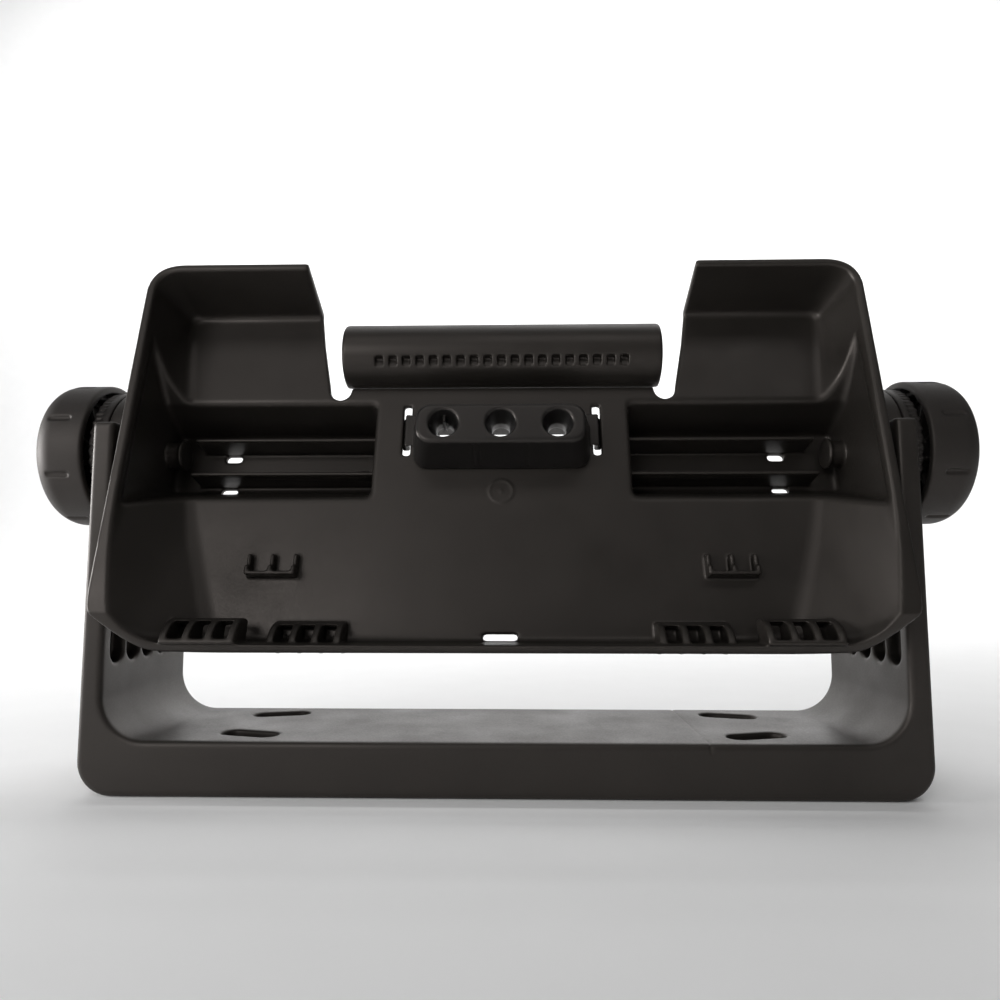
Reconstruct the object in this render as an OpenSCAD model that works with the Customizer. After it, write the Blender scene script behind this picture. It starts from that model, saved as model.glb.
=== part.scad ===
// Quick-release cradle on a U-shaped tilt bracket for a marine chartplotter.
// Millimetres. Origin: middle of the bracket's underside. +X right, +Y back, +Z up.
// The cradle is drawn in its own frame, origin on the tilt axis, and then leaned back.

/* [Bracket] */
// Width over the two arms
bracket_w = 264; // [256:1:272]
// Depth of the bracket, front to back
bracket_d = 60; // [56:1:64]
// Height of the tilt axis above the mounting surface
axis_h = 111; // [108:1:114]
// Height of the flat tops of the arms
arm_top = 118; // [115:1:119]
// Thickness of an arm
arm_t = 7; // [6.5:0.5:8]
// Height of the base, skirt included
base_h = 17; // [16:0.5:19]
// Outer corner radius where the base turns into an arm
bend_r = 11; // [9:0.5:13]
// Inner corner radius of the same bend
inner_bend_r = 14; // [12:0.5:15]
// Wall of the hollow base
base_wall = 3; // [2.5:0.25:3.5]
// Distance of the screw slots from the middle, sideways
slot_x = 82; // [78:1:86]
// Distance between the front and rear pair of screw slots
slot_row_gap = 34; // [32:1:36]
// Length of a screw slot, end to end
slot_len = 20; // [18:0.5:21]
// Width of a screw slot
slot_w = 8; // [7:0.25:8.5]
// Angle of the screw slots to the bracket's width
slot_angle = 15; // [12:1:18]

/* [Cradle] */
// Lean of the cradle from upright, top backwards
lean = 16; // [14:1:18]
// Half width over the rim
rim_half_w = 122.5; // [121.5:0.25:123]
// Height of the top rim above the tilt axis, along the cradle
rim_top = 58.5; // [56:0.5:60]
// Distance of the rim's front edge in front of the tilt axis, at the lower corners
rim_front = 30; // [29:0.5:31]
// The same distance at the top corners
rim_front_top = 33; // [31:0.5:34]
// Distance of the dish floor in front of the tilt axis
floor_front = 10; // [9.5:0.25:10.5]
// Wall of the cradle moulding
wall = 2.5; // [2.25:0.25:2.75]
// Corner radius of the top rim
rim_r = 10; // [8:1:11]

/* [Release latch] */
// Radius of the half-round thumb roll
roll_r = 11.6; // [11:0.2:12]
// Length of the thumb roll
roll_len = 112; // [106:1:112]
// Number of grip ribs on the roll
rib_count = 20; // [12:1:22]
// Distance from one grip rib to the next
rib_pitch = 4.75; // [4:0.05:4.8]

/* [Connector block] */
// Width of the front face
block_w = 55.6; // [50:0.2:56]
// Height of the front face
block_h = 14; // [13:0.5:15]
// Distance the block stands out of the dish floor
block_out = 15.5; // [14:0.5:17]
// Distance from one port to the next
port_pitch = 18.8; // [17:0.2:19]
// Diameter of a port bore
port_d = 6.2; // [6:0.1:6.6]
// Diameter of a port mouth
port_mouth_d = 10; // [9.6:0.2:11]

/* [Clamp knobs] */
// Radius of a knob
knob_r = 25; // [23:0.5:26]
// Distance of a knob's outer face from the middle plane
knob_end = 157; // [156:0.5:158]
// Distance of a knob's rim edge from the middle plane
knob_rim = 138.6; // [138.6:0.2:141]
// Radius of the serrated clamp discs
disc_r = 22.3; // [21:0.1:22.6]
// Diameter of the clamp stud
stud_d = 5; // [5:1:6]

/* [Hidden] */

// General
nudge = 0.5;            // how far a cutter runs past the face it opens
smooth = 96;            // facets of the round surfaces
hull_fn = 32;           // facets of the round corners inside a hull

// Bracket
arm_x = bracket_w / 2;              // outer face of an arm
arm_in = arm_x - arm_t;             // inner face of an arm
skin_top = 4;                       // thickness of the base's top plate
rib_t = 2;                          // ribs under the base and between the arm recesses
recess_w = 8.3;                     // width of a moulding recess inside an arm
recess_pitch = recess_w + rib_t;
recess_count = 5;
recess_depth = 4.5;
recess_bottom = 40;                 // height of the lowest point of a recess
recess_top = 84;                    // top of the recesses under the pivot hub
recess_top_edge = 108;              // top of the first and last recess
scribe_w = 0.6;                     // fine moulding line across the base
scribe_depth = 0.3;
scribe_x = slot_x - 18;
bay_count = 4;                      // hollows under the base
stud_r = stud_d / 2;
running = 0.08;                     // radial clearance round the stud

// Clamp stack, distances from the middle plane
disc_in = arm_x;
disc_out = arm_x + 6;
face_gap = 0.05;                    // clearance between faces of different bodies
washer_r = 9;
washer_t = 1.2;
washer_in = disc_out + face_gap;
core_in = washer_in + washer_t + face_gap;
tooth_count = 40;
tooth_depth = 0.8;
tooth_w = 1;
hub_r = 8.5;
core_r = knob_r - 2.6;              // outside of the core, inside of the grip
core_wall = 2;
core_inset = 2;                     // the core's skirt starts this far inside the grip's rim
core_disc_r = core_r - 4;
grip_edge_r = 8;                    // rounding of the grip's outer edge
grip_face = 4;                      // thickness of the grip's outer face
core_web = 4;                       // thickness of the core's disc
web_out = knob_end - grip_face;     // outer and inner face of that disc
web_in = web_out - core_web;
web_ribs = 8;
web_rib_t = 1.6;
grip_notches = 8;
notch_len = 7.5;
notch_w = 1.4;
notch_depth = 0.6;
notch_start = knob_end - 13.5;
insert_r = 3.5;
boss_r = 4.7;
boss_flange_r = 5.6;
boss_flange_t = 1.2;
boss_in = 114;
boss_out = arm_in - 0.3;
stud_in = boss_in + 1.5;
stud_out = knob_end - 6;

// Cradle: heights are along the cradle from the tilt axis, "front" is towards the display
floor_back = floor_front - wall;
lip_front = 21;                     // front edge of the bottom lip
lip_bottom = -74.5;
fold_bottom = -69;                  // where the floor turns into the lip
corner_low = -63.5;                 // lowest point of the deep side walls
floor_top = 52;
open_front = rim_front_top + 2;     // the dish cutter's open end
rod = 0.1;                          // length of the rods that span a hull
lip_half_w = 97;
corner_r = 1.5;                     // radius of the lower rim corners
inner_shift = 0.3;                  // thins the rim slightly at its open end
lip_drop = 6.56;                    // how far the dish cutter's bottom drops towards its open end
notch_r = 3.6;                      // round bottom of the slits beside the latch
notch_x = 57.6;
notch_z = 21;
latch_root = 17.3;                  // line where the latch flexes
latch_gap = 0.3;
latch_half_w = notch_x - notch_r;
wing_edge = 66.8;                   // inner edge of the two top wings
groove_in = 44.4;                   // inner end of a pivot recess
groove_out = rim_half_w - wall;
groove_back = -7;
groove_front = 28;                  // where the recess runs out in the side wall
groove_rib_t = 1.4;
groove_rib_z = [4.2, -8.9];
groove_rib_front = 4.5;
claw_r = 9;
claw_w = 22.8;
claw_rib_t = 2.3;
claw_ribs = 4;
claw_x = [59.6, 89.8];
claw_step = [0, 6];                 // the outer claws stand further forward, on the side slopes
locator_x = 74;
locator_w = 16.5;
locator_z = -48.4;
locator_h = 7.6;
locator_out = 5;
window_x = 33;
window_w = 2.6;
window_z = 5;
window_h = 19;
block_z = 0;                        // middle of the block, along the cradle
block_base_w = 61;
block_base_h = 20.5;
block_r = 5;
block_plug_w = 48;                  // part of the block that goes through the floor
block_plug_h = 13;
block_fit = 0.2;                    // clearance round that part
mouth_depth = 7;                    // length of a port's tapered mouth
port_len = 11;                      // mouth and bore together
block_wall = 1.6;
ear_t = 1;                          // thickness of the ears that carry the side clips
clip_h = 9.5;
drain_w = 2.6;
drain_x = 99.5;                     // drains at the outer end of a pivot recess
drain_z = [1.9, -11.4];
drain_len = 6;
bottom_drain_len = 11;
roll_z = 34.2;                      // middle of the thumb roll
roll_angle = 42;                    // the pockets face down by this much
pocket = [3, 1.5, 3.8];

// Outline of the dish, right half, bottom to top, as [x, height]
floor_pts = [[91, fold_bottom], [106, -24.5], [112.5, 19.5], [115.5, floor_top]];
// The same outline on the back of the floor
back_pts = [[91, fold_bottom - wall], [106, -24.5], [113.5, 19.5], [117, floor_top + wall]];
// Round lower corners between the lip and the rim, outside and inside, as [x, height, front]
lobe_pts = [[106.5, -74.2, 22], [111, -72.6, 24], [115, -69.3, 27]];
lobe_in_pts = [[104.5, -71.8, 22], [108.8, -70.3, 24], [112.8, -67.2, 27],
               [105, -75.4, open_front], [112, -72.5, open_front], [117.5, -68.2, open_front]];

// Outline of a pivot recess in side view, as [front, height]
groove_pts = [[groove_back, 10.5], [floor_front, 15.5], [groove_front, 31], [groove_front, -29],
              [floor_front, -20], [groove_back, -12]];

// Places children() in the cradle's frame: X right, -Y towards the display, Z along the cradle
module lean_back() {
  translate([0, 0, axis_h])
    rotate([-lean, 0, 0])
      children();
}

module both_sides() {
  children();
  mirror([1, 0, 0]) children();
}

// A round bar along X from x0 to x1 (x0 < x1)
module bar_x(x0, x1, r, fn = smooth) {
  translate([x0, 0, 0])
    rotate([0, 90, 0])
      cylinder(h = x1 - x0, r = r, $fn = fn);
}

// A slot along X, cut along Z, centred
module slot_hole(length, width, depth) {
  for (s = [-1, 1])
    translate([s * (length - width) / 2, 0, 0])
      cylinder(h = depth, d = width, center = true, $fn = 48);
  cube([length - width, width, depth], center = true);
}

// A flat outline in the XZ plane, from y0 (front) to y1 (back)
module upright(y0, y1) {
  translate([0, y1, 0])
    rotate([90, 0, 0])
      linear_extrude(height = y1 - y0)
        children();
}

// A side-view outline given as [front, height], from x0 to x1
module side_profile(points, x0, x1) {
  translate([x0, 0, 0])
    rotate([90, 0, 90])
      linear_extrude(height = x1 - x0)
        polygon([for (p = points) [-p[0], p[1]]]);
}

// ---------------------------------------------------------------- bracket

module u_outline() {
  difference() {
    union() {
      translate([-arm_x, bend_r]) square([bracket_w, arm_top - bend_r]);
      translate([-arm_x + bend_r, 0]) square([bracket_w - 2 * bend_r, bend_r + nudge]);
      for (s = [-1, 1])
        translate([s * (arm_x - bend_r), bend_r]) circle(r = bend_r, $fn = smooth);
    }
    translate([-arm_in, base_h + inner_bend_r]) square([2 * arm_in, arm_top]);
    translate([-arm_in + inner_bend_r, base_h])
      square([2 * (arm_in - inner_bend_r), inner_bend_r + nudge]);
    for (s = [-1, 1])
      translate([s * (arm_in - inner_bend_r), base_h + inner_bend_r])
        circle(r = inner_bend_r, $fn = smooth);
  }
}

// Vertical moulding recesses, round at the bottom, in the inner face of the right arm
module arm_recesses() {
  for (i = [0 : recess_count - 1]) {
    y = (i - (recess_count - 1) / 2) * recess_pitch;
    top = (i == 0 || i == recess_count - 1) ? recess_top_edge : recess_top;
    translate([arm_in - nudge, y, recess_bottom + recess_w / 2]) {
      bar_x(0, recess_depth + nudge, recess_w / 2, 48);
      translate([0, -recess_w / 2, 0])
        cube([recess_depth + nudge, recess_w, top - recess_bottom - recess_w / 2]);
    }
  }
}

module base_hollow() {
  half_len = arm_in - inner_bend_r;
  bay = 2 * half_len / bay_count;
  for (i = [0 : bay_count - 1])
    translate([-half_len + i * bay + rib_t / 2, -bracket_d / 2 + base_wall, -nudge])
      cube([bay - rib_t, bracket_d - 2 * base_wall, base_h - skin_top + nudge]);
}

module screw_slots() {
  for (sx = [-1, 1], sy = [-1, 1])
    translate([sx * slot_x, sy * slot_row_gap / 2, base_h - skin_top / 2])
      rotate([0, 0, -sx * sy * slot_angle])
        slot_hole(slot_len, slot_w, skin_top + 2 * nudge);
}

module bail() {
  color("#26241f")
    difference() {
      union() {
        upright(-bracket_d / 2, bracket_d / 2) u_outline();
        both_sides()
          translate([0, 0, axis_h]) bar_x(arm_in, arm_x, disc_r);
      }
      base_hollow();
      screw_slots();
      both_sides() {
        arm_recesses();
        translate([0, 0, axis_h])
          bar_x(arm_in - nudge, arm_x + nudge, stud_r + running);
      }
      translate([scribe_x, -bracket_d / 2 - nudge, base_h - scribe_depth])
        cube([scribe_w, bracket_d + 2 * nudge, scribe_depth + nudge]);
    }
}

// ---------------------------------------------------------------- clamp stack, right-hand side

// Disc with radial teeth on its outer face
module clamp_disc() {
  color("#1f1e1c")
    translate([0, 0, axis_h])
      difference() {
        bar_x(disc_in, disc_out, disc_r);
        bar_x(disc_in - nudge, disc_out + nudge, stud_r + running);
        for (i = [0 : tooth_count - 1])
          rotate([i * 360 / tooth_count, 0, 0])
            translate([disc_out - tooth_depth, washer_r + 2, -tooth_w / 2])
              cube([tooth_depth + nudge, disc_r, tooth_w]);
      }
}

module washer() {
  color("silver")
    translate([0, 0, axis_h])
      difference() {
        bar_x(washer_in, washer_in + washer_t, washer_r);
        bar_x(washer_in - nudge, washer_in + washer_t + nudge, stud_r + running);
      }
}

// Rigid core: hub, disc, skirt and radial ribs inside the grip
module knob_core() {
  color("#2b2926")
    translate([0, 0, axis_h])
      difference() {
        union() {
          bar_x(core_in, web_in + nudge, hub_r);
          bar_x(web_in, web_out, core_disc_r);
          difference() {
            bar_x(knob_rim + core_inset, web_in + nudge, core_r);
            bar_x(knob_rim, web_in, core_r - core_wall);
          }
          for (i = [0 : web_ribs - 1])
            rotate([i * 360 / web_ribs, 0, 0])
              translate([knob_rim + core_inset + 1, hub_r - nudge, -web_rib_t / 2])
                cube([web_in - knob_rim - core_inset - 1 + nudge, core_r - 1 - hub_r + nudge, web_rib_t]);
        }
        bar_x(core_in - nudge, stud_out + 1, stud_r);
      }
}

module grip_section() {
  difference() {
    union() {
      translate([0, knob_rim]) square([knob_r, knob_end - grip_edge_r - knob_rim]);
      translate([0, knob_rim]) square([knob_r - grip_edge_r, knob_end - knob_rim]);
      intersection() {
        translate([knob_r - grip_edge_r, knob_end - grip_edge_r])
          circle(r = grip_edge_r, $fn = smooth);
        translate([0, knob_end - grip_edge_r - nudge]) square([knob_r, grip_edge_r + nudge]);
      }
    }
    translate([-nudge, knob_rim - nudge]) square([core_r + nudge, web_in - knob_rim + nudge]);
    translate([-nudge, knob_rim]) square([core_disc_r + nudge, web_out - knob_rim]);
  }
}

// Soft outer shell with short notches round the barrel
module knob_grip() {
  color("#35332f")
    translate([0, 0, axis_h])
      difference() {
        rotate([0, 90, 0])
          rotate_extrude($fn = smooth) grip_section();
        for (i = [0 : grip_notches - 1])
          rotate([(i + 0.5) * 360 / grip_notches, 0, 0])
            translate([notch_start, knob_r - notch_depth, -notch_w / 2])
              cube([notch_len, notch_depth + nudge, notch_w]);
      }
}

module knob_stud() {
  color("silver")
    translate([0, 0, axis_h])
      bar_x(stud_in, stud_out, stud_r);
}

module thread_insert() {
  color("goldenrod")
    translate([0, 0, axis_h])
      difference() {
        bar_x(boss_in + 1, boss_out - 1, insert_r);
        bar_x(boss_in, boss_out, stud_r + running);
      }
}

// ---------------------------------------------------------------- cradle

// One corner post of a hull: round if r > 0, a thin rod otherwise
module post(x, z, front0, front1, r) {
  translate([x, -front0, z])
    rotate([90, 0, 0])
      cylinder(h = front1 - front0, r = max(r, 0.05), $fn = r > 0 ? hull_fn : 8);
}

module dish_outside() {
  hull()
    both_sides() {
      for (p = back_pts)
        post(p[0], p[1], floor_back, floor_back + rod, 0);
      post(rim_half_w - rim_r, rim_top - rim_r, rim_front_top - rod, rim_front_top, rim_r);
      post(rim_half_w - corner_r, corner_low + nudge, rim_front - rod, rim_front, corner_r);
      post(lip_half_w, lip_bottom, lip_front - rod, lip_front, 0);
      for (p = lobe_pts)
        post(p[0], p[1], p[2] - rod, p[2], 0);
    }
}

module dish_inside() {
  hull()
    both_sides() {
      for (p = floor_pts)
        post(p[0], p[1], floor_front, floor_front + rod, 0);
      post(rim_half_w - rim_r + inner_shift, rim_top - rim_r + inner_shift, open_front - rod,
           open_front, rim_r - wall);
      post(rim_half_w - wall - 1, corner_low + 1, open_front - rod, open_front, 1);
      post(lip_half_w, fold_bottom - lip_drop, open_front - rod, open_front, 0);
      for (p = lobe_in_pts)
        post(p[0], p[1], p[2] - rod, p[2], 0);
    }
}

// Shell round a pivot recess, one wall larger than the recess
module groove_outside() {
  cap = wall + 0.3;
  outer = [[groove_back - wall, groove_pts[0][1] + cap - 1], [floor_back, groove_pts[1][1] + cap - 0.5],
           [groove_front, groove_pts[2][1] + cap], [groove_front + 1, groove_pts[3][1]],
           [floor_back, groove_pts[4][1] - cap + 0.5], [groove_back - wall, groove_pts[5][1] - cap + 1]];
  side_profile(outer, groove_in - wall, rim_half_w);
}

module groove_inside() {
  side_profile(groove_pts, groove_in, groove_out);
}

// Everything between the two wings: the latch lives here
module latch_opening() {
  edge = [[wing_edge - 0.3, 80], [wing_edge, 52], [65, 40], [notch_x + notch_r, notch_z]];
  upright(-60, 20) {
    polygon(concat(edge, [[latch_half_w, notch_z], [latch_half_w, latch_root],
            [-latch_half_w, latch_root], [-latch_half_w, notch_z]],
            [for (i = [3 : -1 : 0]) [-edge[i][0], edge[i][1]]]));
    for (s = [-1, 1])
      translate([s * notch_x, notch_z]) circle(r = notch_r, $fn = 48);
  }
}

// Quarter-round hook cage on the bottom lip
module claw() {
  step = (claw_w - claw_rib_t) / (claw_ribs - 1);
  corner = [floor_front - 0.5, lip_bottom + 2];
  for (i = [0 : claw_ribs - 1])
    translate([-claw_w / 2 + i * step, 0, 0])
      intersection() {
        side_profile([corner, [corner[0] + claw_r + 1, corner[1]],
                      [corner[0] + claw_r + 1, corner[1] + claw_r + 1],
                      [corner[0], corner[1] + claw_r + 1]], 0, claw_rib_t);
        translate([0, -corner[0], corner[1]]) bar_x(0, claw_rib_t, claw_r + 0.8, 64);
      }
  translate([-claw_w / 2, -corner[0] - 1.5, corner[1] + claw_r - 1.2])
    cube([claw_w, 1.6, 1.4]);
  translate([-claw_w / 2, -corner[0] - claw_r, corner[1]])
    cube([claw_w, 1.6, 1.4]);
}

// Low E-shaped locator: a shelf with three prongs
module locator() {
  translate([-locator_w / 2, -floor_front - locator_out, locator_z])
    cube([locator_w, locator_out + nudge, 1.4]);
  for (i = [0 : 2])
    translate([-locator_w / 2 + i * (locator_w - 1.4) / 2, -floor_front - locator_out + 1.5, locator_z])
      cube([1.4, locator_out - 1.5 + nudge, locator_h]);
}

module pivot_boss() {
  bar_x(boss_in, boss_out, boss_r);
  bar_x(boss_in, boss_in + boss_flange_t, boss_flange_r);
  bar_x(boss_out - boss_flange_t, boss_out, boss_flange_r);
  // web that carries the boss from the back of the recess
  translate([boss_in + 2, 0, -1]) cube([groove_out - boss_in - 1, -groove_back + nudge, 2]);
}

module groove_ribs() {
  for (z = groove_rib_z)
    translate([groove_in - nudge, -groove_rib_front, z - groove_rib_t / 2])
      cube([boss_in - 4 - groove_in, groove_rib_front - groove_back + nudge, groove_rib_t]);
}

module cradle() {
  color("#24231f")
    lean_back()
      difference() {
        union() {
          difference() {
            union() {
              dish_outside();
              both_sides() groove_outside();
            }
            dish_inside();
            both_sides() groove_inside();
          }
          both_sides() {
            groove_ribs();
            pivot_boss();
            for (i = [0, 1]) translate([claw_x[i], -claw_step[i], 0]) claw();
            translate([locator_x, 0, 0]) locator();
          }
        }
        latch_opening();
        both_sides() {
          bar_x(boss_in + 0.9, boss_out + nudge, insert_r);
          // clip window beside the connector block
          translate([window_x - window_w / 2, -floor_front - nudge, window_z - window_h / 2])
            cube([window_w, wall + 2 * nudge, window_h]);
          // drains at the outer end of the recess
          for (z = drain_z)
            translate([drain_x, -groove_back, z])
              rotate([90, 0, 0]) slot_hole(drain_len, drain_w, 3 * wall);
        }
        // opening behind the connector block
        translate([-block_plug_w / 2, -floor_front - nudge, block_z - block_plug_h / 2])
          cube([block_plug_w, wall + 2 * nudge, block_plug_h]);
        // drain at the bottom fold
        translate([0, -floor_front + 1, fold_bottom + 1.6])
          rotate([90, 0, 0]) slot_hole(bottom_drain_len, drain_w, 3 * wall);
      }
}

// Flexing tongue with a half-round, hollow thumb roll
module release_latch() {
  first = -(rib_count - 2) * rib_pitch / 2;
  color("#24231f")
    lean_back()
      difference() {
        union() {
          translate([-latch_half_w + latch_gap, -floor_front, latch_root + latch_gap])
            cube([2 * (latch_half_w - latch_gap), wall, roll_z + roll_r - latch_root - latch_gap]);
          intersection() {
            translate([0, -floor_front, roll_z]) bar_x(-roll_len / 2, roll_len / 2, roll_r);
            translate([-roll_len / 2, -floor_front - roll_r, roll_z - roll_r])
              cube([roll_len, roll_r + wall, 2 * roll_r]);
          }
        }
        // hollow back of the roll
        intersection() {
          translate([0, -floor_front, roll_z])
            bar_x(-roll_len / 2 + wall, roll_len / 2 - wall, roll_r - wall);
          translate([-roll_len / 2, -floor_front - roll_r, roll_z - roll_r])
            cube([roll_len, roll_r + wall + nudge, 2 * roll_r]);
        }
        // pockets between the grip ribs
        for (i = [0 : rib_count - 2])
          translate([first + i * rib_pitch, -floor_front, roll_z])
            rotate([roll_angle, 0, 0])
              translate([-pocket[0] / 2, -roll_r - nudge, -pocket[2] / 2])
                cube([pocket[0], pocket[1] + nudge, pocket[2]]);
      }
}

// ---------------------------------------------------------------- connector block

module block_ports() {
  for (i = [-1 : 1])
    translate([i * port_pitch, -floor_front - block_out - nudge, block_z])
      rotate([-90, 0, 0]) {
        cylinder(h = port_len + 2 * nudge, d = port_d, $fn = smooth);
        cylinder(h = mouth_depth + nudge, d1 = port_mouth_d, d2 = port_d, $fn = smooth);
      }
}

module connector_block() {
  front = floor_front + block_out;
  corner = [block_w / 2 - block_r, block_h / 2 - block_r];
  base_corner = [block_base_w / 2 - block_r, block_base_h / 2 - block_r];
  clip_z = window_z - window_h / 2 + 2.8;
  color("#1c1b19")
    lean_back()
      difference() {
        union() {
          hull()
            for (sx = [-1, 1], sz = [-1, 1]) {
              post(sx * corner[0], block_z + sz * corner[1], front - rod, front, block_r);
              post(sx * base_corner[0], block_z + sz * base_corner[1], floor_front,
                   floor_front + rod, block_r);
            }
          // spigot through the floor
          translate([-block_plug_w / 2 + block_fit, -floor_front - nudge,
                     block_z - block_plug_h / 2 + block_fit])
            cube([block_plug_w - 2 * block_fit, wall + 1 + nudge, block_plug_h - 2 * block_fit]);
          // side clips that hook behind the floor
          both_sides() {
            translate([block_base_w / 2 - 2, -floor_front - ear_t, clip_z])
              cube([window_x - block_base_w / 2 + 2.9, ear_t, clip_h]);
            translate([window_x - 0.9, -floor_front - ear_t, clip_z])
              cube([1.8, wall + ear_t + 0.2, clip_h]);
            translate([window_x - 0.9, -floor_front + wall + 0.1, clip_z])
              cube([2.6, 1.4, clip_h]);
          }
        }
        // hollow behind the ports
        translate([-block_plug_w / 2 + block_fit + block_wall, -front + port_len,
                   block_z - block_plug_h / 2 + block_fit + block_wall])
          cube([block_plug_w - 2 * (block_fit + block_wall), block_out - port_len + wall + 2,
                block_plug_h - 2 * (block_fit + block_wall)]);
        block_ports();
      }
}

bail();
cradle();
release_latch();
connector_block();
mirror([1, 0, 0]) clamp_disc();  // left_clamp_disc
clamp_disc();  // right_clamp_disc
mirror([1, 0, 0]) washer();  // left_washer
washer();  // right_washer
mirror([1, 0, 0]) knob_core();  // left_knob_core
knob_core();  // right_knob_core
mirror([1, 0, 0]) knob_grip();  // left_knob_grip
knob_grip();  // right_knob_grip
mirror([1, 0, 0]) knob_stud();  // left_knob_stud
knob_stud();  // right_knob_stud
mirror([1, 0, 0]) thread_insert();  // left_thread_insert
thread_insert();  // right_thread_insert
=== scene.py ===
"""Quick-release display cradle on a U-shaped tilt bracket: the visual model in the CAD frame."""

import math

import bmesh
import bpy
import numpy as np
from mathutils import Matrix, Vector


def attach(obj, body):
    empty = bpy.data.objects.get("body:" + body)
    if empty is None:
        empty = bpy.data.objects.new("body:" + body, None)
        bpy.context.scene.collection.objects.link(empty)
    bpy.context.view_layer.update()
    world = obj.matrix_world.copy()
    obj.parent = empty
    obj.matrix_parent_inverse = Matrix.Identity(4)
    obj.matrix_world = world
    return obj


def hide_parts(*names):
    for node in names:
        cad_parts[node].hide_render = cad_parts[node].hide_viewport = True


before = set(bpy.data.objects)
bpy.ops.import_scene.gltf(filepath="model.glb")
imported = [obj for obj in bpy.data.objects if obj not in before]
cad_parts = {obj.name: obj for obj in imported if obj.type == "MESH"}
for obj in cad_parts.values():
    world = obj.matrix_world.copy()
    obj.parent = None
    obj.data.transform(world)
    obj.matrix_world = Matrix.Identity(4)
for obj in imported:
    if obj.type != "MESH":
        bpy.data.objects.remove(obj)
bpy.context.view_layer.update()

# ---------------------------------------------------------------- sizes, millimetres
AXIS_H = 111
LEAN = math.radians(16)
ARM_X, ARM_IN, ARM_TOP = 132, 125, 118
BASE_D, BASE_H = 60, 17
HUB_R = 22.3
FLOOR, BACK = 10, 7.5  # dish floor and its back, in front of the tilt axis
RIM_X, RIM_TOP = 122.5, 58.5
NOTCH_X, NOTCH_Z, NOTCH_R = 57.6, 21, 3.6
ROLL_Z, ROLL_R, ROLL_LEN = 34.2, 11.6, 112
KNOB_IN = 138.6  # rim of the knob's grip
NOTCHES = 8  # notches round the grip, ribs inside the core
CLEARANCE = 0.3  # between the latch and the cradle
LATCH_HALF_W, SEAM_Z = 54, 22  # the latch's plate and its root, which the roll hides
BLOCK_FRONT, PORT_LEN = 25.5, 11  # face of the plug block and depth of its ports
PORT_PITCH, PORT_R, MOUTH_R, MOUTH_LEN = 18.8, 3.1, 5, 7
CLIP_LOW, CLIP_HIGH = -1.3, 10.9  # side clips of the plug block
DRAIN_X, DRAIN_Z, DRAIN_LEN, DRAIN_R = 99.5, (1.9, -11.4), 6, 1.3
CLAWS = ((59.6, 9.5), (89.8, 15.5))  # middle and front of each hook cage
ROLL_PITCH, ROLL_COUNT = 4.75, 10  # thumb roll's pockets, from the middle outwards
SCRIBE_X = 64.3  # fine moulding line on the base


# ---------------------------------------------------------------- fields
def smax(a, b, k):
    """The larger of two distances, with the edge between them rounded over about k."""
    if np.isscalar(k) and k == 0:
        return np.maximum(a, b)
    return np.maximum(a, b) + np.square(np.maximum(k - np.abs(a - b), 0)) / (4 * k)


def smin(a, b, k):
    return -smax(-a, -b, k)


def slab(a, low, high):
    return np.maximum(low - a, a - high)


def block(low, high, r=0.3):
    """A box with rounded edges."""

    def shape(x, y, z):
        q = [slab(a, l, h) + r for a, l, h in zip((x, y, z), low, high)]
        out = np.sqrt(sum(np.square(np.maximum(v, 0)) for v in q))
        return out + np.minimum(np.maximum(np.maximum(q[0], q[1]), q[2]), 0) - r

    return shape, low, high


def rod(axis, centre, r, start, end, edge=0.3):
    """A round bar along axis 0, 1 or 2 through centre, which gives the other two coordinates."""
    others = [i for i in range(3) if i != axis]

    def shape(*p):
        d = np.hypot(p[others[0]] - centre[0], p[others[1]] - centre[1]) - r
        return smax(d, slab(p[axis], start, end), edge)

    low, high = [0] * 3, [0] * 3
    low[axis], high[axis] = start, end
    for i, c in zip(others, centre):
        low[i], high[i] = c - r, c + r
    return shape, low, high


def outline(points, a, b):
    """Signed distance to a closed flat outline, over the broadcastable coordinates a and b."""
    near = None
    inside = None
    for (x0, y0), (x1, y1) in zip(points, points[1:] + points[:1]):
        ex, ey = x1 - x0, y1 - y0
        wx, wy = a - x0, b - y0
        t = np.clip((wx * ex + wy * ey) / (ex * ex + ey * ey), 0, 1)
        d = np.square(wx - ex * t) + np.square(wy - ey * t)
        near = d if near is None else np.minimum(near, d)
        crossing = ((y0 <= b) & (y1 > b) & (ex * wy > wx * ey)) | (
            (y0 > b) & (y1 <= b) & (ex * wy < wx * ey)
        )
        inside = crossing if inside is None else inside ^ crossing
    return np.sqrt(near) * np.where(inside, -1, 1)


def blur(f, times=1):
    """Averages each value with its neighbours, which rounds every edge and leaves flat faces."""
    for _ in range(times):
        for axis in range(f.ndim):
            if f.shape[axis] < 3:
                continue
            m = np.moveaxis(f, axis, 0)
            m[1:-1] = 0.5 * m[1:-1] + 0.25 * (m[:-2] + m[2:])
    return f


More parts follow.
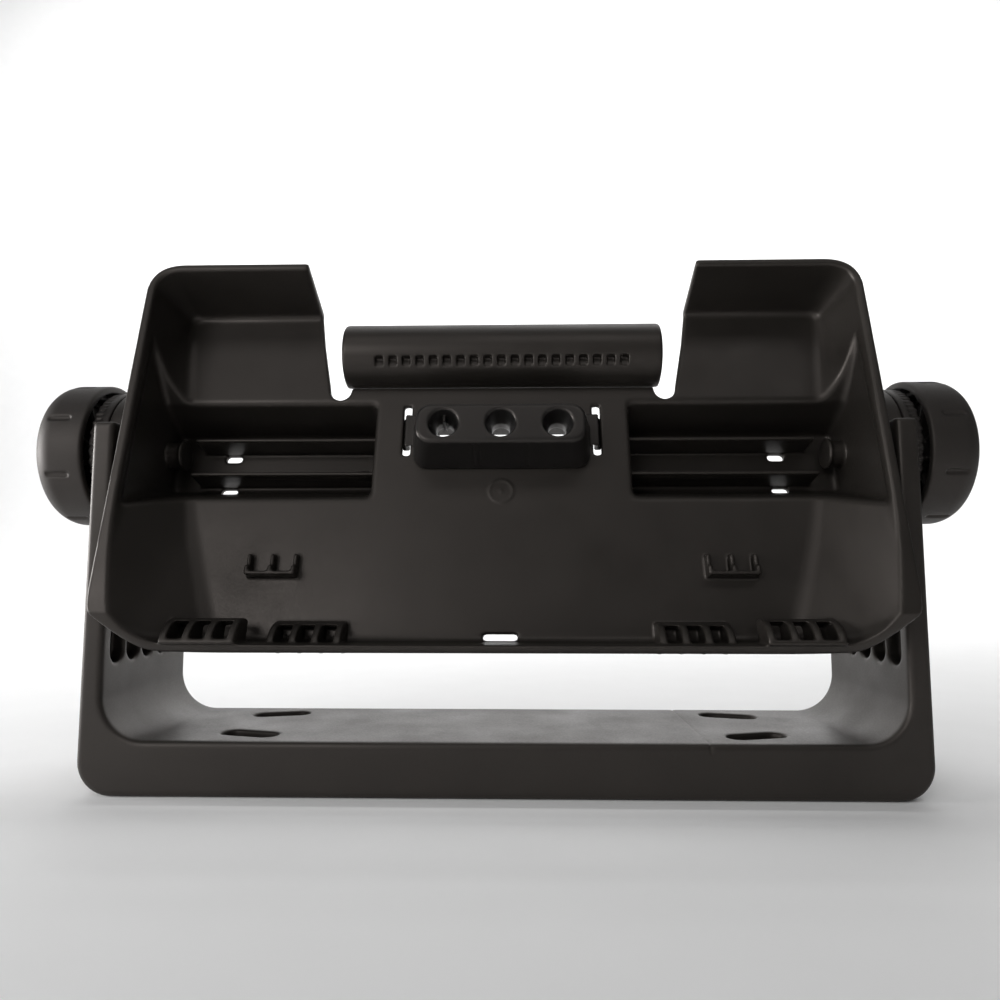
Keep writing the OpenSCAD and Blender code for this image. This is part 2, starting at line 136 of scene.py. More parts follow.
class Field:
    """Signed distances on a regular block of sample points, negative inside the solid."""

    def __init__(self, low, high, step):
        self.step = step
        counts = [int(round((h - l) / step)) + 1 for l, h in zip(low, high)]
        self.axes = [
            (l + step * np.arange(n)).astype(np.float32) for l, n in zip(low, counts)
        ]
        self.f = np.full(counts, 9, np.float32)

    def grid(self):
        x, y, z = self.axes
        return x[:, None, None], y[None, :, None], z[None, None, :]

    def window(self, low, high, pad):
        cut = []
        for axis, l, h in zip(self.axes, low, high):
            cut.append(
                slice(np.searchsorted(axis, l - pad), np.searchsorted(axis, h + pad))
            )
        x, y, z = (axis[c] for axis, c in zip(self.axes, cut))
        return tuple(cut), x[:, None, None], y[None, :, None], z[None, None, :]

    def add(self, part, k=0.0):
        shape, low, high = part
        cut, x, y, z = self.window(low, high, k + 2 * self.step)
        self.f[cut] = smin(self.f[cut], shape(x, y, z), k)

    def cut(self, part, k=0.0):
        shape, low, high = part
        cut, x, y, z = self.window(low, high, k + 2 * self.step)
        self.f[cut] = smax(self.f[cut], -shape(x, y, z), k)

    def mirrored(self):
        """The whole of a field that starts at x = 0."""
        x, y, z = self.axes
        self.axes = [np.concatenate([-x[:0:-1], x]), y, z]
        self.f = np.concatenate([self.f[:0:-1], self.f])
        return self

    def sample(self, p):
        """Values at points, and the gradient there."""
        g = (p - np.array([a[0] for a in self.axes])) / self.step
        g = np.clip(g, 0.001, np.array(self.f.shape) - 1.001)
        i = g.astype(int)
        t = g - i
        v = {}
        for c in np.ndindex(2, 2, 2):
            v[c] = self.f[i[:, 0] + c[0], i[:, 1] + c[1], i[:, 2] + c[2]]
        value, slope = 0, np.zeros_like(t)
        for c in v:
            w = [t[:, j] if c[j] else 1 - t[:, j] for j in range(3)]
            value = value + v[c] * w[0] * w[1] * w[2]
            for j in range(3):
                others = [w[m] for m in range(3) if m != j]
                slope[:, j] += (1 if c[j] else -1) * v[c] * others[0] * others[1]
        return value, slope / self.step

    def surface(self):
        """Vertices and quads on the zero level, one vertex for each cell that it crosses."""
        f, inside = self.f, self.f < 0
        count = np.zeros(tuple(n - 1 for n in f.shape), np.int8)
        parts = []
        for c in np.ndindex(2, 2, 2):
            where = tuple(slice(k, k + n - 1) for k, n in zip(c, f.shape))
            count += inside[where]
            parts.append((c, where))
        mixed = np.argwhere((count > 0) & (count < 8))
        index = np.full(count.shape, -1, np.int32)
        index[tuple(mixed.T)] = np.arange(len(mixed))
        corner = {
            c: f[mixed[:, 0] + c[0], mixed[:, 1] + c[1], mixed[:, 2] + c[2]]
            for c, _ in parts
        }
        total, hits = np.zeros((len(mixed), 3)), np.zeros(len(mixed))
        for c in corner:
            for axis in range(3):
                if c[axis]:
                    continue
                d = tuple(1 if m == axis else c[m] for m in range(3))
                a, b = corner[c], corner[d]
                cross = (a < 0) != (b < 0)
                t = np.where(cross, a / np.where(cross, a - b, 1), 0)
                p = np.array(c, float)[None, :].repeat(len(mixed), 0)
                p[:, axis] += t
                total += p * cross[:, None]
                hits += cross
        low = np.array([a[0] for a in self.axes])
        verts = (mixed + total / hits[:, None]) * self.step + low
        faces = []
        for axis in range(3):
            b, c = [m for m in range(3) if m != axis]
            near = [slice(1, -1)] * 3
            near[axis] = slice(0, -1)
            far = list(near)
            far[axis] = slice(1, None)
            first, second = inside[tuple(near)], inside[tuple(far)]
            at = np.argwhere(first != second)
            out = first[tuple(at.T)]
            base = at.copy()
            base[:, b] += 1
            base[:, c] += 1
            quad = []
            for db, dc in ((-1, -1), (0, -1), (0, 0), (-1, 0)):
                q = base.copy()
                q[:, b] += db
                q[:, c] += dc
                quad.append(index[tuple(q.T)])
            quad = np.stack(quad, 1)
            flip = out if axis == 1 else ~out
            quad[flip] = quad[flip][:, ::-1]
            faces.append(quad)
        return verts, np.concatenate(faces)


def tilted(p):
    """Points of the cradle's frame in the row frame."""
    c, s = math.cos(LEAN), math.sin(LEAN)
    return np.stack(
        [p[:, 0], p[:, 1] * c + p[:, 2] * s, AXIS_H - p[:, 1] * s + p[:, 2] * c], 1
    )


def turned(n):
    return tilted(n) - np.array([0, 0, AXIS_H])


def new_object(name, verts, faces, material, normals=None):
    """A smooth mesh object from millimetre coordinates."""
    mesh = bpy.data.meshes.new(name)
    faces = faces.tolist() if isinstance(faces, np.ndarray) else faces
    mesh.from_pydata((np.asarray(verts) / 1000).tolist(), [], faces)
    mesh.polygons.foreach_set("use_smooth", [True] * len(mesh.polygons))
    mesh.materials.append(material)
    mesh.update()
    obj = bpy.data.objects.new(name, mesh)
    bpy.context.scene.collection.objects.link(obj)
    if normals is not None:
        mesh.normals_split_custom_set_from_vertices(normals.tolist())
    return obj


def settle(obj, field, place=None, turn=None):
    """Puts the vertices on the zero level, gives them its normals, and moves them into the row frame."""
    mesh = obj.data
    p = np.zeros(len(mesh.vertices) * 3, np.float32)
    mesh.vertices.foreach_get("co", p)
    p = p.reshape(-1, 3).astype(float) * 1000
    for _ in range(2):
        value, slope = field.sample(p)
        size = np.maximum(np.linalg.norm(slope, axis=1), 0.4)
        move = np.clip(value / size, -0.3, 0.3)
        p -= (move / size)[:, None] * slope
    _, slope = field.sample(p)
    slope /= np.maximum(np.linalg.norm(slope, axis=1), 1e-6)[:, None]
    if place:
        p, slope = place(p), turn(slope)
    mesh.vertices.foreach_set("co", (p / 1000).astype(np.float32).ravel())
    mesh.update()
    mesh.normals_split_custom_set_from_vertices(slope.tolist())


def carve(name, field, material, ratio=0.3, place=None, turn=None):
    """The object whose surface is the field's zero level."""
    verts, faces = field.surface()
    obj = new_object(name, verts, faces, material)
    thin = obj.modifiers.new("thin", "DECIMATE")
    thin.ratio = ratio
    bpy.context.view_layer.update()
    mesh = bpy.data.meshes.new_from_object(
        obj.evaluated_get(bpy.context.evaluated_depsgraph_get())
    )
    obj.modifiers.clear()
    old, obj.data = obj.data, mesh
    bpy.data.meshes.remove(old)
    mesh.name = name
    settle(obj, field, place, turn)
    return obj


# ---------------------------------------------------------------- materials
def plastic(name, colour, rough, grain=0.35, grain_size=0.35, coat=0.0, spread=0.06,
            tint=(1, 0.9, 0.84)):
    """Moulded plastic: a spark-eroded grain, with slow changes of gloss and shade."""
    mat = bpy.data.materials.new(name)
    mat.use_nodes = True
    nt = mat.node_tree
    shader = nt.nodes["Principled BSDF"]
    place = nt.nodes.new("ShaderNodeTexCoord").outputs["Object"]

    def noise(size, detail=2.0):
        n = nt.nodes.new("ShaderNodeTexNoise")
        n.inputs["Scale"].default_value = 1000 / size
        n.inputs["Detail"].default_value = detail
        nt.links.new(place, n.inputs["Vector"])
        return n.outputs["Fac"]

    def ramp(source, low, high):
        n = nt.nodes.new("ShaderNodeMapRange")
        n.inputs["From Min"].default_value = 0.3
        n.inputs["From Max"].default_value = 0.7
        n.inputs["To Min"].default_value = low
        n.inputs["To Max"].default_value = high
        nt.links.new(source, n.inputs["Value"])
        return n.outputs["Result"]

    mix = nt.nodes.new("ShaderNodeMix")
    mix.data_type = "RGBA"
    mix.inputs["A"].default_value = (*[c * 0.82 for c in colour], 1)
    mix.inputs["B"].default_value = (*[c * 1.18 for c in colour], 1)
    nt.links.new(ramp(noise(28, 4), 0, 1), mix.inputs["Factor"])
    nt.links.new(mix.outputs["Result"], shader.inputs["Base Color"])
    add = nt.nodes.new("ShaderNodeMath")
    add.operation = "ADD"
    nt.links.new(ramp(noise(19, 5), rough - spread, rough + spread), add.inputs[0])
    nt.links.new(ramp(noise(grain_size * 1.7), -0.04, 0.04), add.inputs[1])
    nt.links.new(add.outputs[0], shader.inputs["Roughness"])
    bump = nt.nodes.new("ShaderNodeBump")
    bump.inputs["Strength"].default_value = grain
    bump.inputs["Distance"].default_value = 0.00003
    nt.links.new(noise(grain_size, 3), bump.inputs["Height"])
    nt.links.new(bump.outputs["Normal"], shader.inputs["Normal"])
    shader.inputs["Coat Weight"].default_value = coat
    shader.inputs["IOR"].default_value = 1.5
    shader.inputs["Specular Tint"].default_value = (*tint, 1)
    return mat


def metal(name, colour, rough, streak=0.2):
    """Turned metal with fine marks of the tool."""
    mat = plastic(name, colour, rough, grain=streak, grain_size=0.25, spread=0.08, tint=(1, 1, 1))
    mat.node_tree.nodes["Principled BSDF"].inputs["Metallic"].default_value = 1
    return mat


ABS = plastic("black_abs", (0.0150, 0.0132, 0.0115), 0.42)
BAIL = plastic("black_abs_bracket", (0.0160, 0.0142, 0.0125), 0.46)
NYLON = plastic("black_nylon", (0.0120, 0.0110, 0.0105), 0.5, grain_size=0.5)
BLOCK = plastic("black_nylon_block", (0.0105, 0.0100, 0.0098), 0.36, grain=0.15)
GRIP = plastic("grip_elastomer", (0.0170, 0.0152, 0.0140), 0.55, grain=0.5, grain_size=0.3)
STEEL = metal("steel", (0.55, 0.54, 0.52), 0.28)
BRASS = metal("brass", (0.62, 0.44, 0.18), 0.33)


# ---------------------------------------------------------------- cradle
FLOOR_PTS = [(91, -69), (106, -24.5), (112.5, 19.5), (115.5, 52)]
BACK_PTS = [(91, -71.5), (106, -24.5), (113.5, 19.5), (117, 54.5)]
# round lower corners of the rim, outside and inside
LOBE = [(106.5, -22, -74.2), (111, -24, -72.6), (115, -27, -69.3)]
LOBE_IN = [(104.5, -22, -71.8), (108.8, -24, -70.3), (112.8, -27, -67.2)]
LOBE_IN += [(105, -35.2, -75.4), (112, -35.2, -72.5), (117.5, -35.2, -68.2)]


def hull_planes(points):
    """Outward unit normals and offsets of the faces of the points' convex hull."""
    bm = bmesh.new()
    for p in points:
        bm.verts.new(p)
        bm.verts.new((-p[0], p[1], p[2]))
    bmesh.ops.convex_hull(bm, input=bm.verts)
    found = {}
    for f in bm.faces:
        n = f.normal.copy()
        d = n.dot(f.verts[0].co)
        if n.x > -0.02:
            found[tuple(round(v, 2) for v in (*n, d / 10))] = (n, d)
    bm.free()
    return list(found.values())


def solid_of(planes, x, y, z, side_k, floor_k, corner_k):
    """Signed distance to a convex body, with its own rounding at the sides, floor and top corner."""
    groups = dict.fromkeys(("side", "top", "floor", "low", "front"))
    for n, d in sorted(planes, key=lambda p: (round(p[0].z, 3), round(p[0].x, 3))):
        value = (n.x * x + n.y * y + n.z * z - d).astype(np.float32)
        key = "side"
        if abs(n.y) > 0.8:
            key = "floor" if n.y > 0 else "front"
        elif abs(n.z) > 0.6:
            key = "top" if n.z > 0 else "low"
        k = side_k if key in ("side", "low") else 0
        groups[key] = value if groups[key] is None else smax(groups[key], value, k)
    body = smax(groups["side"], groups["low"], side_k * 2)
    body = smax(body, groups["top"], corner_k)
    return np.maximum(smax(body, groups["floor"], floor_k), groups["front"])


def dish():
    """The cradle's shell with its pivot recesses, right half, in the cradle's frame."""
    field = Field((0, -35.5, -77), (124.5, 12, 60.5), 0.5)
    x, y, z = field.grid()
    outer = [(px, -BACK, pz) for px, pz in BACK_PTS]
    outer += [(RIM_X, -33, RIM_TOP), (RIM_X, -30, -64.5), (97, -21, -74.5), *LOBE]
    inner = [(px, -FLOOR, pz) for px, pz in FLOOR_PTS]
    inner += [(120.3, -35.2, 56.3), (120, -35.2, -63.5), (97, -35.2, -75.6), *LOBE_IN]
    depth = np.clip((-y - BACK) / (33 - BACK), 0, 1.1)
    shell = solid_of(hull_planes(outer), x, y, z, 0.8, 2.0, 5 + 7 * depth)
    # shell round the recess, then the two hollows
    profile = [(9.5, 12.3), (-7.5, 17.8), (-28, 33.8), (-29, -29), (-7.5, -22.3), (9.5, -13.8)]
    cover = blur(outline(profile, y, z), 2)
    shell = smin(shell, smax(cover, slab(x, 39, RIM_X), 2.5), 1.5)
    cavity = solid_of(hull_planes(inner), x, y, z, 1.5, 2.2, 3 + 6 * depth)
    shell = smax(shell, -cavity, 0.8)
    del cavity
    profile = [(7, 10.5), (-10, 15.5), (-28, 31), (-28, -29), (-10, -20), (7, -12)]
    recess = blur(outline(profile, y, z), 4)
    recess = smax(recess, slab(x, 44.4, 120), 2.5)
    field.f = smax(shell, -recess, 1.7)
    return field


def claw(field, x0, front):
    """Quarter-round hook cage on the bottom lip: four ribs between a top and a bottom bar."""
    cy, cz, r, half = -front, -72.5, 9.6, 11.4

    def bar(low, high, start, end, inner):
        def shape(x, y, z):
            d = np.hypot(y - cy, z - cz)
            d = smax(smax(d - r, inner - d, 0.3), slab(x, start, end), 0.35)
            return np.maximum(d, np.maximum(slab(z, cz + low, cz + high), y - cy - 1))

        return shape, (start, cy - r, cz + low), (end, cy + 1, cz + high)

    for i in range(4):
        start = x0 - half + i * (2 * half - 2.3) / 3
        field.add(bar(0, r + 1, start, start + 2.3, 0))
    field.add(bar(r * 0.8, r + 1, x0 - half, x0 + half, 0))
    field.add(bar(0, 1.7, x0 - half, x0 + half, r - 2.2))


def locator(field):
    """Low shelf with three stepped prongs."""
    x0, z0 = 74, -48.4
    field.add(block((x0 - 8.25, -15, z0), (x0 + 8.25, -9.5, z0 + 1.4)))
    for i in (-1, 0, 1):
        xi = x0 + i * 7.55
        field.add(block((xi - 0.7, -13.2, z0), (xi + 0.7, -9.5, z0 + 7.6)))
        field.add(block((xi - 0.7, -15, z0), (xi + 0.7, -9.5, z0 + 3.4)))


def cradle_field():
    field = dish()
    # thin ribs, the sloped pad between them, and the pivot tube with its flanges
    for z0 in (4.2, -8.9):
        field.add(block((44, -4.5, z0 - 0.7), (110, 8, z0 + 0.7), 0.3))

    def pad(x, y, z):
        slope = (z + 8.2) * 0.8 + (y + 4.2) * 0.62 - (104 - x) * 0.05
        return np.maximum(slope, slab(x, 46.5, 104))

    field.add((pad, (46.5, -1, -8.9), (104, 8, 1)))
    field.add(rod(0, (0, 0), 4.7, 114, 124.4, 0.2))
    field.add(rod(0, (0, 0), 5.6, 114, 115.3, 0.6), 0.5)
    field.add(rod(0, (0, 0), 5.6, 122.6, 124.4, 0.6), 0.5)
    field.add(block((116, 0, -1), (121, 8, 1)), 0.6)
    field.cut(rod(0, (0, 0), 3.5, 114.9, 126, 0))
    for x0, front in CLAWS:
        claw(field, x0, front)
    locator(field)
    # latch opening with its round-bottomed slits
    x, y, z = field.grid()
    edge = [(0, 90), (66.5, 90), (66.8, 52), (65, 40), (61.2, NOTCH_Z), (LATCH_HALF_W, NOTCH_Z)]
    edge += [(LATCH_HALF_W, SEAM_Z), (-5, SEAM_Z), (-5, 90)]
    gap = outline(edge, x, z)
    gap = smin(gap, np.hypot(x - NOTCH_X, z - NOTCH_Z) - NOTCH_R, 0.5)
    field.f = smax(field.f, -gap, 0.9)
    del gap
    # clip windows, drains, opening behind the block
    field.cut(block((31.7, -11, -4.5), (34.3, -6, 14.5)), 0.4)

    def slot(x0, z0, length, r=1.1):
        def shape(x, y, z):
            d = np.hypot(np.maximum(np.abs(x - x0) - length / 2 + r, 0), z - z0) - r
            return d + 0 * y

        return shape, (x0 - length / 2, -14, z0 - r), (x0 + length / 2, 13, z0 + r)

    for z0 in DRAIN_Z:
        field.cut(slot(DRAIN_X, z0, DRAIN_LEN, DRAIN_R), 0.3)
    field.cut(slot(0, -67.4, 11), 0.5)
    field.cut(block((-24, -11, -6.5), (24, -6, 6.5), 0.2))
    blur(field.f)
    field.mirrored()
    # round gate mark under the block
    cut, x, y, z = field.window((-6, -12, -24), (6, -8, -12), 0)
    ring = np.hypot(x, z + 18)
    field.f[cut] -= 0.11 * np.exp(-np.square((ring - 4) / 0.6)) + 0.12 * np.exp(
        -np.square(ring / 0.8)
    ) + 0.07 * np.clip(4.6 - ring, 0, 1) + 0 * y
    return field


# ---------------------------------------------------------------- latch and block
def latch_field():
    field = Field((0, -25, 20.5), (57.5, -5, 48), 0.35)
    low = (-10, -FLOOR, SEAM_Z + CLEARANCE)
    field.add(block(low, (LATCH_HALF_W - CLEARANCE, -BACK, 44), 0.5))
    field.add(rod(0, (-FLOOR, ROLL_Z), ROLL_R, -10, ROLL_LEN / 2, 1.4), 0.6)
    field.cut(block((-10, -7.45, 10), (60, 5, 60), 0))
    field.cut(rod(0, (-FLOOR, ROLL_Z), ROLL_R - 2.5, -10, ROLL_LEN / 2 - 2.5, 0.8))
    for i in range(ROLL_COUNT):
        x0 = i * ROLL_PITCH
        field.cut(block((x0 - 1.4, -24, 25.2), (x0 + 1.4, -17.9, 28.9), 0.25), 0.2)
    blur(field.f)
    return field.mirrored()


def block_field():
    field = Field((0, -27, -11), (37, -3, 11), 0.35)
    x, y, z = field.grid()
    t = np.clip((-y - FLOOR) / (BLOCK_FRONT - FLOOR), 0, 1)
    half_w, half_h, r = 30.5 - 2.7 * t, 10.25 - 3.25 * t, 5
    q = np.maximum(np.abs(x) - half_w + r, 0), np.maximum(np.abs(z) - half_h + r, 0)
    side = np.hypot(*q) + np.minimum(np.maximum(np.abs(x) - half_w, np.abs(z) - half_h) + r, 0) - r
    field.f = smax(side, slab(y, -BLOCK_FRONT, -FLOOR), 1.3).astype(np.float32)
    field.add(block((-10, -10.5, -6.3), (23.8, -6.5, 6.3)))
    field.add(block((28, -10.6, CLIP_LOW), (33.7, -9.9, CLIP_HIGH), 0.2))
    field.add(block((32.1, -10.6, CLIP_LOW), (33.7, -6, CLIP_HIGH), 0.3))
    field.add(block((32.1, -7.4, CLIP_LOW), (34.7, -6, CLIP_HIGH), 0.3))
    field.cut(block((-10, PORT_LEN - BLOCK_FRONT, -4.5), (22, -3, 4.5), 0.3))
    for x0 in (0, PORT_PITCH):

        def port(x, y, z, x0=x0):
            r = np.hypot(x - x0, z)
            mouth = np.clip(1 - (y + BLOCK_FRONT) / MOUTH_LEN, 0, 1.2)
            return r - PORT_R - (MOUTH_R - PORT_R) * mouth

        field.cut((port, (x0 - 6, -28, -6), (x0 + 6, -2, 6)), 0.7)
    blur(field.f)
    field.mirrored()
    # key rib in the left port, and the parting marks underneath
    field.add(block((-19.3, -22.5, 1.9), (-18.3, -14.6, 4.2), 0.2))
    for x0 in (-9, -7, 9):
        cut, x, y, z = field.window((x0 - 2, -24, -11), (x0 + 2, -12, -5), 0)
        field.f[cut] += 0.14 * np.exp(-np.square((x - x0) / 0.4)) + 0 * y + 0 * z
    return field


# ---------------------------------------------------------------- bracket
def bail_field():
    step = 0.6
    field = Field((0, -31.2, -1.2), (133.2, 31.2, 134.4), step)
    x, y, z = field.grid()
    r, ri = 11, 14
    q = np.maximum(x - ARM_X + r, 0), np.maximum(r - z, 0)
    outer = np.hypot(*q) + np.minimum(np.maximum(x - ARM_X, -z) + r, 0) - r
    q = np.maximum(x - ARM_IN + ri, 0), np.maximum(BASE_H + ri - z, 0)
    inner = np.hypot(*q) + np.minimum(np.maximum(x - ARM_IN, BASE_H - z) + ri, 0) - ri
    shape = np.maximum(smax(outer, z - ARM_TOP, 1.5), -inner)
    field.f = smax(shape, np.abs(y) - BASE_D / 2, 1.8).astype(np.float32)
    field.add(rod(0, (0, AXIS_H), HUB_R, ARM_IN, ARM_X, 0.8), 0)
    for i in range(5):
        y0 = (i - 2) * 10.3
        top = 108 if i in (0, 4) else 84

        def pocket(x, y, z, y0=y0, top=top):
            d = np.hypot(y - y0, np.minimum(z - 44.15, 0)) - 4.15
            return smax(smax(d, z - top, 0.8), x - 129.5, 0.8)

        field.cut((pocket, (122, y0 - 4.15, 40), (129.5, y0 + 4.15, top)), 0.8)
    for x0, x1 in ((-20, 54.5), (56.5, 110)):
        field.cut(block((x0, -27, -5), (x1, 27, 13), 0.8))
    # the two bays meet at a rib in the middle
    field.add(block((-2, -27.5, 0.2), (1, 27.5, 13.5), 0.4))
    for sy in (-1, 1):
        a = math.radians(15 * sy)

        def slot(x, y, z, sy=sy, a=a):
            u = (x - 82) * math.cos(a) - (y - sy * 17) * math.sin(a)
            v = (x - 82) * math.sin(a) + (y - sy * 17) * math.cos(a)
            return np.hypot(np.maximum(np.abs(u) - 6, 0), v) - 4 + 0 * z

        field.cut((slot, (70, sy * 17 - 8, 10), (94, sy * 17 + 8, 20)), 0.9)
    field.cut(rod(0, (0, AXIS_H), 2.6, 120, 136, 0))
    blur(field.f)
    field.mirrored()
    cut, x, y, z = field.window((SCRIBE_X - 2, -40, 14), (SCRIBE_X + 2, 40, 19), 0)
    field.f[cut] += 0.2 * np.exp(-np.square((x - SCRIBE_X) / 0.45)) + 0 * y + 0 * z
    return field


# ---------------------------------------------------------------- clamp hardware, right-hand side
def disc_field():
    field = Field((130.8, -24, AXIS_H - 24), (139.4, 24, AXIS_H + 24), 0.4)
    x, y, z = field.grid()
    z = z - AXIS_H
    r, angle = np.hypot(y, z), np.arctan2(z, y)
    teeth = 0.3 * np.clip((r - 11) / 2, 0, 1) * (1 + np.cos(40 * angle))
    side = r - HUB_R + 0.22 * (1 + np.cos(72 * angle)) * np.clip((x - 134.2) / 0.6, 0, 1)
    f = smax(side, slab(x, 132.02, 137.95 - teeth), 0.8)
    field.f = smax(f, 2.6 - r, 0.4).astype(np.float32)
    blur(field.f)
    return field


def grip_field():
    field = Field((137.8, -26, AXIS_H - 26), (158, 26, AXIS_H + 26), 0.4)
    x, y, z = field.grid()
    z = z - AXIS_H
    r, angle = np.hypot(y, z), np.arctan2(z, y)
    # barrel, slightly domed outer face with a large round edge
    q = np.maximum(r - 17, 0), np.maximum(x - 149, 0)
    body = np.hypot(*q) + np.minimum(np.maximum(r - 17, x - 149), 0) - 8
    body = smax(body, x - (156.95 - 0.0022 * np.square(r)), 1.5)
    body = smax(body, KNOB_IN + 0.05 - x, 1.0)
    hollow = smax(r - 22.4, x - 149, 0.5)
    hollow = smin(hollow, smax(r - 18.4, x - 153, 0.5), 0)
    f = smax(body, -hollow, 0.6)
    # engraved notches round the barrel
    sector = 2 * math.pi / NOTCHES
    local = (angle / sector - np.floor(angle / sector) - 0.5) * sector * 25
    notch = np.hypot(np.maximum(np.abs(x - 147.25) - 3.0, 0), local) - 0.75
    f = smax(f, -np.maximum(notch, 24.2 - r), 0.5)
    field.f = f.astype(np.float32)
    blur(field.f)
    return field


def core_field():
    field = Field((138.8, -24, AXIS_H - 24), (154, 24, AXIS_H + 24), 0.4)
    x, y, z = field.grid()
    z = z - AXIS_H
    r, angle = np.hypot(y, z), np.arctan2(z, y)
    f = smax(r - 8.5, slab(x, 139.32, 150), 0.6)
    f = np.minimum(f, smax(r - 18.35, slab(x, 149, 152.95), 0.4))
    f = np.minimum(f, smax(np.abs(r - 21.35) - 1.0, slab(x, 144.5, 149.4), 0.4))
    sector = 2 * math.pi / NOTCHES
    local = (angle / sector - np.floor(angle / sector) - 0.5) * sector * np.maximum(r, 1)
    rib = np.maximum(np.abs(local) - 0.8, slab(r, 8, 21.5))
    f = smin(f, smax(rib, slab(x, 145.5, 149.5), 0.3), 0.6)
    field.f = smax(f, np.maximum(2.5 - r, x - 152), 0.2).astype(np.float32)
    field.f = np.maximum(field.f, np.minimum(2.5 - r, 152 - x)).astype(np.float32)
    blur(field.f)
    return field


def lathe(name, profile, material, sides=96):
    """A ring turned about the tilt axis from (x, radius) points, closed round its section."""
    n = len(profile)
    angle = np.linspace(0, 2 * math.pi, sides, endpoint=False)
    px, pr = np.array(profile, float).T
    verts = np.stack(
        [
            np.broadcast_to(px, (sides, n)),
            np.cos(angle)[:, None] * pr,
            np.sin(angle)[:, None] * pr + AXIS_H,
        ],
        2,
    ).reshape(-1, 3)
    faces = []
    for i in range(sides):
        a, b = i * n, (i + 1) % sides * n
        for j in range(n):
            k = (j + 1) % n
            faces.append((a + j, a + k, b + k, b + j))
    return new_object(name, verts, faces, material)


def stud(name, material):
    """M5 stud with its thread and a chamfered end."""
    turns, sides = (151 - 115.5) / 0.8, 40
    rows = int(turns * 8)
    s, a = np.meshgrid(np.arange(rows + 1) / rows, np.arange(sides) / sides, indexing="ij")
    xs = 115.5 + s * 35.5
    phase = (xs / 0.8 + a) % 1
    depth = 0.34 * np.abs(2 * phase - 1)
    threaded = np.clip((141 - xs) / 1.0, 0, 1)
    r = 2.49 - depth * threaded
    r = np.minimum(r, 1.9 + (xs - 115.5) * 0.9)
    verts = np.stack(
        [xs, r * np.cos(2 * math.pi * a), AXIS_H + r * np.sin(2 * math.pi * a)], 2
    ).reshape(-1, 3)
    faces = []
    for i in range(rows):
        for j in range(sides):
            k = (j + 1) % sides
            faces.append((i * sides + j, i * sides + k, (i + 1) * sides + k, (i + 1) * sides + j))
    obj_verts = np.concatenate([verts, [[115.5, 0, AXIS_H], [151, 0, AXIS_H]]])
    low, high = len(verts), len(verts) + 1
    for j in range(sides):
        k = (j + 1) % sides
        faces.append((low, k, j))
        faces.append((high, rows * sides + j, rows * sides + k))
    return new_object(name, obj_verts, faces, material)


def insert(name, material):
    """Knurled brass thread insert."""
    sides, xs = 72, [115.05, 115.4, 118.6, 119.0, 119.9, 120.3, 123.3, 123.65]
    rs = [3.15, 3.45, 3.45, 3.1, 3.1, 3.45, 3.45, 3.15]
    rows = list(zip(xs, rs)) + [(123.65, 2.6), (115.05, 2.6)]
    verts, faces = [], []
    for i in range(sides):
        a = 2 * math.pi * i / sides
        for x, r in rows:
            cut = 0.16 * (i % 2) if r > 3.4 else 0
            verts.append((x, (r - cut) * math.cos(a), AXIS_H + (r - cut) * math.sin(a)))
    n = len(rows)
    for i in range(sides):
        a, b = i * n, (i + 1) % sides * n
        for j in range(n):
            k = (j + 1) % n
            faces.append((a + j, a + k, b + k, b + j))
    return new_object(name, verts, faces, material)


def flipped(obj, name):
    """The mirror image of a right-hand piece."""
    mesh = obj.data.copy()
    mesh.name = name
    count = len(mesh.vertices)
    p = np.zeros(count * 3, np.float32)
    mesh.vertices.foreach_get("co", p)
    p = p.reshape(-1, 3)
    normals = np.zeros(len(mesh.corner_normals) * 3, np.float32)
    mesh.corner_normals.foreach_get("vector", normals)
    normals = normals.reshape(-1, 3)
    corners = np.zeros(len(mesh.loops), np.int32)
    mesh.loops.foreach_get("vertex_index", corners)
    per_vertex = np.zeros((count, 3))
    per_vertex[corners] = normals
    p[:, 0] *= -1
    per_vertex[:, 0] *= -1
    mesh.vertices.foreach_set("co", p.ravel())
    mesh.flip_normals()
    mesh.update()
    mesh.normals_split_custom_set_from_vertices(per_vertex.tolist())
    twin = bpy.data.objects.new(name, mesh)
    bpy.context.scene.collection.objects.link(twin)
    return twin


# ---------------------------------------------------------------- assembly
def keep(obj, body, node):
    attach(obj, body)
    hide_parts(node)


keep(
    carve("cradle_shell", cradle_field(), ABS, 0.3, tilted, turned),
    "cradle", "cradle",
)
keep(
    carve("latch_roll", latch_field(), ABS, 0.4, tilted, turned),
    "release_latch", "release_latch",
)
keep(
    carve("port_block", block_field(), BLOCK, 0.4, tilted, turned),
    "cradle", "connector_block",
)
keep(carve("bracket", bail_field(), BAIL, 0.25), "bail", "bail")

pieces = [
    (carve("clamp_disc", disc_field(), NYLON, 0.5), "bail", "clamp_disc", "black_nylon"),
    (carve("knob_grip", grip_field(), GRIP, 0.4), "knob", "knob_grip", "grip_elastomer"),
    (carve("knob_core", core_field(), NYLON, 0.4), "knob", "knob_core", "black_nylon"),
    (
        lathe(
            "washer",
            [(138.07, 8.7), (138.3, 8.95), (139.0, 8.95), (139.22, 8.7), (139.22, 2.85),
             (139.05, 2.6), (138.25, 2.6), (138.07, 2.85)],
            STEEL,
        ),
        "washer", "washer", "steel",
    ),
    (stud("knob_stud", STEEL), "knob", "knob_stud", "steel"),
    (insert("thread_insert", BRASS), "cradle", "thread_insert", "brass"),
]
for obj, body, node, slot in pieces:
    own = body in ("knob", "washer")
    twin = flipped(obj, "left_" + obj.name)
    obj.name = "right_" + obj.name
    keep(obj, "right_" + body if own else body, "right_" + node)
    keep(twin, "left_" + body if own else body, "left_" + node)

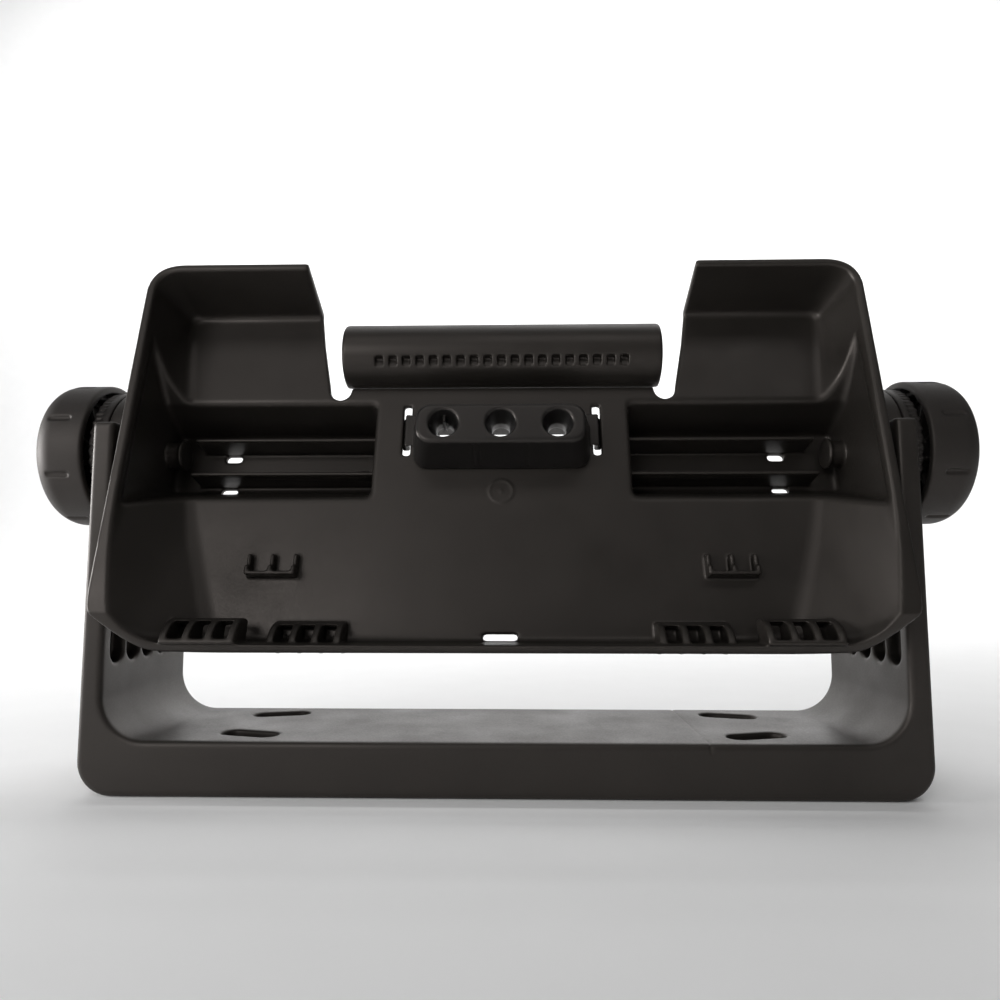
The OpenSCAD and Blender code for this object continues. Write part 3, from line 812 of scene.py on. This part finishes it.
# ---------------------------------------------------------------- studio
def paper(name, shade):
    """Matte pale paper with a very faint mottle."""
    mat = plastic(name, (shade, shade, shade), 0.75, grain=0.02, grain_size=3, spread=0.03,
                  tint=(1, 1, 1))
    mix = next(n for n in mat.node_tree.nodes if n.type == "MIX")
    mix.inputs["A"].default_value = (shade, shade, shade, 1)
    mix.inputs["B"].default_value = (shade * 1.015, shade * 1.015, shade * 1.015, 1)
    return mat


def backdrop():
    """Pale floor that curves up into a wall."""
    profile = [(-1.4, 0.0), (1.2, 0.0)]
    for i in range(1, 13):
        a = i / 12 * math.pi / 2
        profile.append((1.2 + 0.6 * math.sin(a), 0.6 - 0.6 * math.cos(a)))
    profile.append((1.8, 3.2))
    verts, faces = [], []
    for x in (-3.5, 3.5):
        verts += [(x, y, z) for y, z in profile]
    n = len(profile)
    for i in range(n - 1):
        faces.append((i, n + i, n + i + 1, i + 1))
    obj = new_object("floor", np.array(verts) * 1000, faces, paper("floor_white", 0.93))


def lamp(name, place, target, size, power, shape="RECTANGLE"):
    light = bpy.data.lights.new(name, "AREA")
    light.shape = shape
    light.size, light.size_y = size
    light.energy = power
    obj = bpy.data.objects.new(name, light)
    bpy.context.scene.collection.objects.link(obj)
    obj.location = place
    obj.rotation_euler = (Vector(target) - Vector(place)).to_track_quat("-Z", "Y").to_euler()
    return obj


backdrop()
centre = (0, 0, 0.08)
lamp("key", (-0.6, -1.1, 0.5), centre, (0.6, 0.5), 4)
lamp("top", (0.0, 0.35, 1.1), centre, (1.2, 0.6), 1.2)
lamp("side", (-1.2, -0.1, 0.15), (0, 0, 0.1), (0.6, 0.5), 18)
lamp("floor", (0, -0.9, 1.3), (0, -0.8, 0), (1.8, 0.4), 3)
lamp("wall", (0, 0.7, 1.5), (0, 1.8, 0.8), (3.0, 0.6), 42)
world = bpy.data.worlds.new("studio")
world.use_nodes = True
world.node_tree.nodes["Background"].inputs["Color"].default_value = (1, 1, 1, 1)
world.node_tree.nodes["Background"].inputs["Strength"].default_value = 0.12
bpy.context.scene.world = world
bpy.context.scene.view_settings.view_transform = "Standard"

cam_data = bpy.data.cameras.new("camera")
cam_data.sensor_width = 36
cam_data.lens = 27.2
cam_data.clip_start = 0.01
camera = bpy.data.objects.new("camera", cam_data)
bpy.context.scene.collection.objects.link(camera)
camera.location = (0.0059, -0.2676, 0.0692)
camera.rotation_euler = (math.radians(95.46), 0, math.radians(1.43))
bpy.context.scene.camera = camera
